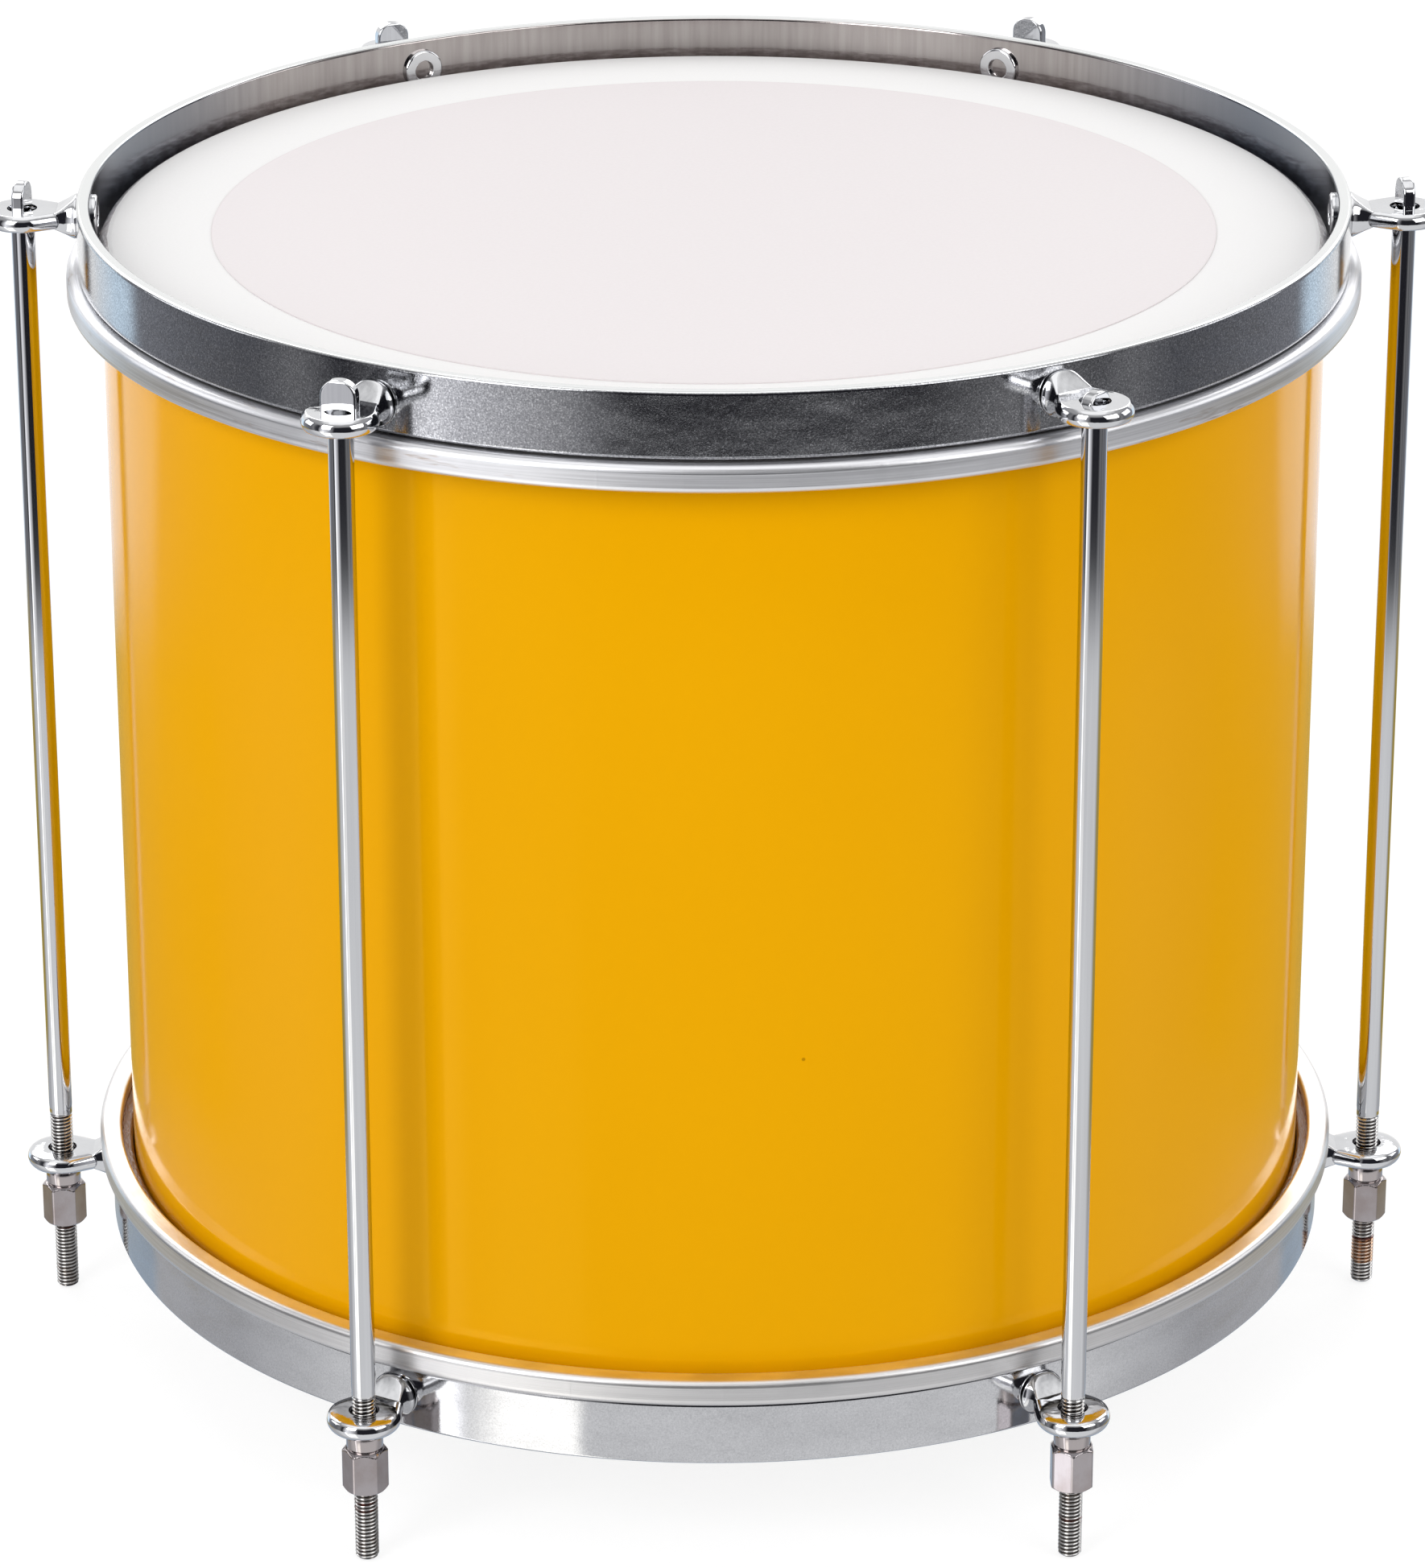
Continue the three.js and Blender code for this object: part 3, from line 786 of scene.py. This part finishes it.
def spade_ring(z, turn, top, eye):
    """A section of the flattened end, which grows wide and thin at the eye and closes in a half circle."""
    spread = smooth((z - eye + 1.5) / 1.5)
    press = smooth((z - eye + 2.3) / 1.6)
    wide = ROD_RADIUS + 1.4 * spread
    thick = ROD_RADIUS - 1.45 * press
    corner = ROD_RADIUS - 0.4 * spread - 2.0 * press
    centre = top - SPADE_CAP
    if z > centre:
        rise = min((z - centre) / SPADE_CAP, 1)
        wide = max(wide * (1 - rise**2.2) ** 0.5, 0.02)
    if z > top - SPADE_EDGE:
        cut = min((z - top + SPADE_EDGE) / SPADE_EDGE, 1)
        thick = max(thick - SPADE_EDGE + SPADE_EDGE * (1 - cut**2) ** 0.5, 0.02)
    corner = min(corner, wide * 0.98, thick * 0.98)
    arc = [math.pi / 2 * i / 7 for i in range(8)]
    ring = []
    for k in range(4):
        for i, a in enumerate(arc):
            x, y = math.cos(a + k * math.pi / 2), math.sin(a + k * math.pi / 2)
            flat_x, flat_y = (thick - corner) * (1, -1, -1, 1)[k], (wide - corner) * (1, 1, -1, -1)[k]
            ring.append((flat_x + corner * x, flat_y + corner * y))
        x, y = ring[-1]
        step = (min(SUPPORT, thick - corner), 0) if k % 2 == 0 else (0, min(SUPPORT, wide - corner))
        way = (-1, -1, 1, 1)[k]
        ring.append((x + way * step[0], y + way * step[1]))
        nx, ny = ring[-9]
        step = (0, min(SUPPORT, wide - corner)) if k % 2 == 0 else (min(SUPPORT, thick - corner), 0)
        way = (-1, 1, 1, -1)[k]
        ring.insert(-9, (nx + way * step[0], ny + way * step[1]))
    c, s = math.cos(math.radians(turn)), math.sin(math.radians(turn))
    return [(x * c - y * s, x * s + y * c, z) for x, y in ring]


def make_rods():
    for place, (angle, turn, lift, _, thread_end) in PLACES.items():
        material = rod_chrome(place, angle, thread_end, RUST.get(place, []))
        rings = []
        steps = int((thread_end + 1) * THREAD_STEPS / THREAD_PITCH)
        for i in range(steps + 1):
            z = i * THREAD_PITCH / THREAD_STEPS
            tip = THREAD_CREST - TIP_CHAMFER * (1 - min(z / TIP_CHAMFER, 1)) ** 2
            rings.append(thread_ring(z, tip, thread_end))
        eye = EYE_TOP + RISE.get(place, 0)
        for z in (thread_end + 2, 90, 130, 170, 210, 250, 280, eye - 4, eye - 2.5):
            around = superellipse(1, 1, 2, ROD_SIDES, 0.5)
            rings.append([(ROD_RADIUS * x, ROD_RADIUS * y, z) for x, y in around])
        top = SPADE_TOP + lift
        levels = [eye - 2.3 + 0.15 * i for i in range(int((top - 1 - eye + 2.3) / 0.15))]
        levels += [top - 0.9 * (1 - math.sin(math.pi * i / 24)) for i in range(13)]
        for z in sorted(levels):
            rings.append(spade_ring(z, turn, top, eye))
        verts, faces = lofted_data(rings)
        rod = joined("piece_rod_" + place, [(placed(verts, angle, 0, ROD_CIRCLE), faces)], sharp=60)
        dress(rod, "rod_" + place, "top_assembly", material)


NUT_POINTS = 120
NUT_FLAT = 5.0  # from its axis to a flat
NUT_CORNER = 5.62  # from its axis to where a corner's rounding starts
NUT_COLLAR = 4.5  # radius
NUT_BORE = 3.12  # radius


def nut_ring(z, limit, turn):
    """One section of the hex, its corners rounded and cut back by the end chamfers."""
    ring = []
    for k in range(NUT_POINTS):
        angle = 2 * math.pi * k / NUT_POINTS
        off = (angle - turn) % (math.pi / 3) - math.pi / 6
        radius = NUT_FLAT / math.cos(off)
        radius = min(radius, NUT_CORNER + 0.25 * (radius - NUT_CORNER))
        radius = min(radius, limit)
        ring.append((radius * math.cos(angle), radius * math.sin(angle), z))
    return ring


def round_ring(radius, z):
    return [(radius * x, radius * y, z) for x, y in superellipse(1, 1, 2, NUT_POINTS)]


def make_nuts():
    material = nut_nickel()
    hex_top = NUT_HIGH - COLLAR_LENGTH
    for place, (angle, _, _, turn, _) in PLACES.items():
        rings = [round_ring(NUT_BORE, NUT_LOW + 0.5), round_ring(NUT_BORE + 0.4, NUT_LOW)]
        rings += [round_ring(4.55, NUT_LOW), round_ring(4.65, NUT_LOW)]
        steps = [0, 0.05, 0.12, 0.2, 0.3, 0.42, 0.55, 0.7, 0.9, 1.2]
        for step in steps:
            rings.append(nut_ring(NUT_LOW + 0.02 + step, 4.7 + 1.35 * step, math.radians(turn)))
        for z in (NUT_LOW + 4, NUT_LOW + 8):
            rings.append(nut_ring(z, 9, math.radians(turn)))
        for step in reversed(steps):
            rings.append(nut_ring(hex_top - 0.02 - step, 4.75 + 1.2 * step, math.radians(turn)))
        rings += [round_ring(4.68, hex_top), round_ring(4.3, hex_top + 0.02)]
        rings += [round_ring(4.22, hex_top + 0.08), round_ring(4.22, hex_top + 0.3)]
        rings += [round_ring(4.3, hex_top + 0.42)]
        rings += [round_ring(NUT_COLLAR - 0.04, hex_top + 0.6)]
        rings += [round_ring(NUT_COLLAR, hex_top + 0.75), round_ring(NUT_COLLAR, NUT_HIGH - 0.35)]
        rings += [round_ring(NUT_COLLAR - 0.08, NUT_HIGH - 0.12), round_ring(NUT_COLLAR - 0.3, NUT_HIGH)]
        rings += [round_ring(NUT_BORE + 0.4, NUT_HIGH), round_ring(NUT_BORE, NUT_HIGH - 0.5)]
        verts, faces = lofted_data(rings, closed=True)
        nut = joined("piece_nut_" + place, [(placed(verts, angle, 0, ROD_CIRCLE), faces)], sharp=28)
        dress(nut, "nut_" + place, "nut_" + place, material)


make_shell()
make_heads()
make_flesh_hoops()
make_hoops()
make_lugs()
make_rods()
make_nuts()


# Camera: the photograph's place and angle. The frame is 1770 x 1948.
SENSOR_WIDTH = 36
LENS = 149.76
CAMERA_PLACE = (-0.00862, -1.5569, 0.7821)  # metres
CAMERA_PITCH, CAMERA_YAW, CAMERA_ROLL = 22.316, 0.299, -0.066  # degrees


def make_camera():
    data = bpy.data.cameras.new("camera")
    data.sensor_width = SENSOR_WIDTH
    data.lens = LENS
    data.clip_start = 0.05
    data.clip_end = 60
    camera = bpy.data.objects.new("camera", data)
    bpy.context.scene.collection.objects.link(camera)
    pitch, yaw, roll = math.radians(CAMERA_PITCH), math.radians(CAMERA_YAW), math.radians(CAMERA_ROLL)
    level = math.cos(pitch)
    forward = Vector((math.sin(yaw) * level, math.cos(yaw) * level, -math.sin(pitch)))
    turn = forward.to_track_quat("-Z", "Y").to_matrix() @ Matrix.Rotation(roll, 3, "Z")
    camera.matrix_world = Matrix.Translation(CAMERA_PLACE) @ turn.to_4x4()
    bpy.context.scene.camera = camera


# Light and stage: a pale floor and a soft studio round it


LAMP_AIM = 0.16  # metres above the ground
FLOOR_REACH = 12  # metres
FLOOR_DROP = 0.3  # millimetres below the rods' tips


def soft_lamp(name, azimuth, elevation, distance, width, height, level):
    """A softbox that aims at the drum's middle. Level 1 lights a surface that faces it to its own colour."""
    data = bpy.data.lights.new(name, "AREA")
    data.shape = "RECTANGLE"
    data.size = width
    data.size_y = height
    data.energy = level * math.pi**2 * distance**2
    lamp = bpy.data.objects.new(name, data)
    bpy.context.scene.collection.objects.link(lamp)
    a, e = math.radians(azimuth), math.radians(elevation)
    out = Vector((math.sin(a) * math.cos(e), -math.cos(a) * math.cos(e), math.sin(e)))
    turn = out.to_track_quat("Z", "Y").to_matrix().to_4x4()
    lamp.matrix_world = Matrix.Translation(out * distance + Vector((0, 0, LAMP_AIM))) @ turn
    lamp.visible_camera = False


def make_floor():
    """White with the drum's shadow to the camera, matt pale paper to the rest. Metal mirrors the world."""
    reach = FLOOR_REACH / MM
    corners = [(-reach, -reach), (reach, -reach), (reach, reach), (-reach, reach)]
    floor = finish_mesh("floor", [(x, y, -FLOOR_DROP) for x, y in corners], [(0, 1, 2, 3)])
    s = Shader("floor")
    nodes, links = s.tree.nodes, s.tree.links
    nodes.remove(s.surface)
    paper = s.node("ShaderNodeBsdfDiffuse", Color=(0.66, 0.66, 0.66))
    shade = s.node("ShaderNodeBsdfDiffuse", Color=(0.26, 0.26, 0.26))
    glow = s.node("ShaderNodeEmission", Color=(1, 1, 1), Strength=0.83)
    both = s.node("ShaderNodeAddShader")
    links.new(shade.outputs[0], both.inputs[0])
    links.new(glow.outputs[0], both.inputs[1])
    path = s.node("ShaderNodeLightPath").outputs
    seen = s.math("MAXIMUM", path["Is Camera Ray"], path["Is Glossy Ray"])
    seen = s.math("MAXIMUM", seen, path["Is Transmission Ray"])
    pick = s.node("ShaderNodeMixShader")
    s.set(pick, "0", seen)
    links.new(paper.outputs[0], pick.inputs[1])
    links.new(both.outputs[0], pick.inputs[2])
    links.new(pick.outputs[0], s.output.inputs["Surface"])
    floor.data.materials.append(s.material)
    floor.visible_glossy = False


def make_world():
    """White to the camera, a plain level to diffuse rays, and to metal a painted studio round the drum."""
    world = bpy.data.worlds.new("studio")
    bpy.context.scene.world = world
    world.use_nodes = True
    s = Shader.__new__(Shader)
    s.tree = world.node_tree
    s.tree.nodes.clear()
    s.output = s.tree.nodes.new("ShaderNodeOutputWorld")
    direction = s.node("ShaderNodeTexCoord").outputs["Generated"]
    x, y, z = s.split(direction)
    # In degrees: the azimuth from the front, positive to the right, and the elevation
    azimuth = s.math("MULTIPLY", s.math("ARCTAN2", x, s.math("MULTIPLY", y, -1.0)), 180 / math.pi)
    elevation = s.math("MULTIPLY", s.math("ARCSINE", z), 180 / math.pi)
    side = s.math("ABSOLUTE", azimuth)

    def band(value, low, high, soft_low, soft_high):
        """1 between low and high, fading over twice the soft amounts."""
        rise = s.fit(value, low - soft_low, low + soft_low)
        fall = s.fit(value, high - soft_high, high + soft_high, 1, 0)
        return s.math("MULTIPLY", rise, fall)

    low = s.fit(elevation, -21.2, -20.4, 1, 0)
    # The pale table near the drum, less lit at the flanks, and the white backdrop behind
    table = s.mix(band(side, 88, 300, 14, 1), (0.88, 0.885, 0.90), (0.55, 0.555, 0.58))
    # The dark room in front, with what the softboxes spill into it
    room = s.mix(s.fit(side, 62, 126), (0.02, 0.02, 0.026), (0.32, 0.33, 0.365))
    room = s.mix(s.math("MULTIPLY", band(azimuth, -56, -34, 8, 18), 0.9), room, (1.5, 1.5, 1.56))
    room = s.mix(s.math("MULTIPLY", band(azimuth, 46, 66, 10, 12), 0.9), room, (0.28, 0.28, 0.29))
    room = s.mix(s.math("MULTIPLY", band(side, 74, 85, 4, 5), 0.8), room, (0.29, 0.29, 0.30))
    studio = s.mix(low, room, table)
    ceiling = s.mix(s.fit(elevation, 50, 62), (0.45, 0.45, 0.46), (1.12, 1.12, 1.12))
    studio = s.mix(s.fit(elevation, 26, 40), studio, ceiling)
    # The key softbox, a narrow strip and the wide part beside it, which glares more low down
    strip = s.math("MULTIPLY", band(azimuth, -58, -49.5, 0.8, 1.5), band(elevation, -60, -19.5, 2, 1))
    studio = s.mix(strip, studio, (2.3, 2.3, 2.35))
    wedge = s.math("MULTIPLY", band(azimuth, -45, -25.6, 5, 0.5), band(elevation, -60, -21.5, 2, 2))
    glare = s.mix(s.fit(elevation, -29, -22, 1, 0), (1.2, 1.19, 1.18), (2.1, 2.08, 2.0))
    studio = s.mix(wedge, studio, glare)
    backdrop = s.mix(s.fit(side, 136, 150), (0.90, 1.10, 1.28), (1.08, 1.08, 1.08))
    backdrop = s.mix(s.fit(elevation, -24, -18.5, 1, 0), backdrop, (0.42, 0.50, 0.60))
    backdrop = s.mix(s.fit(elevation, 0, 8), backdrop, (1.05, 1.05, 1.05))
    # Its edge leans outwards low down, and stands a little farther back on the right
    inward = s.math("ADD", s.fit(elevation, -21, -19, 6, 0), s.fit(azimuth, -1, 1, 0, 3))
    edge = s.math("SUBTRACT", side, inward)
    behind = s.math("MULTIPLY", s.fit(edge, 126, 130), s.fit(elevation, 38, 50, 1, 0))
    studio = s.mix(behind, studio, backdrop)
    # A warm band painted into the studio at the flanks, a painted reflection of the shell itself in the
    # lacquer's sheen
    painted_shell_reflection = s.math("MULTIPLY", band(elevation, -25.6, -20.6, 0.5, 0.5), s.fit(side, 88, 112, 0, 0.9))
    studio = s.mix(painted_shell_reflection, studio, (0.46, 0.33, 0.03))
    path = s.node("ShaderNodeLightPath").outputs
    clear = s.math("MAXIMUM", path["Is Camera Ray"], path["Is Transmission Ray"])
    seen = s.mix(clear, s.mix(path["Is Glossy Ray"], (0.41, 0.41, 0.41), studio), (1, 1, 1))
    back = s.node("ShaderNodeBackground", Color=seen, Strength=1.0)
    s.tree.links.new(back.outputs[0], s.output.inputs["Surface"])


make_camera()
make_floor()
make_world()
# Azimuth and elevation in degrees, distance, width and height in metres, and level
soft_lamp("key", -38, 27, 1.9, 0.8, 1.1, 0.42)
soft_lamp("fill", 50, 27, 1.9, 1.2, 1.1, 0.28)
soft_lamp("overhead", 0, 88, 1.7, 1.5, 1.5, 0.07)
soft_lamp("side_left", -100, 20, 2.2, 1.0, 1.0, 0.12)
soft_lamp("side_right", 100, 20, 2.2, 1.0, 1.0, 0.12)
soft_lamp("back_left", -150, 35, 2.2, 1.3, 1.0, 0.2)
soft_lamp("back_right", 150, 35, 2.2, 1.3, 1.0, 0.2)

scene = bpy.context.scene
scene.view_settings.view_transform = "Standard"
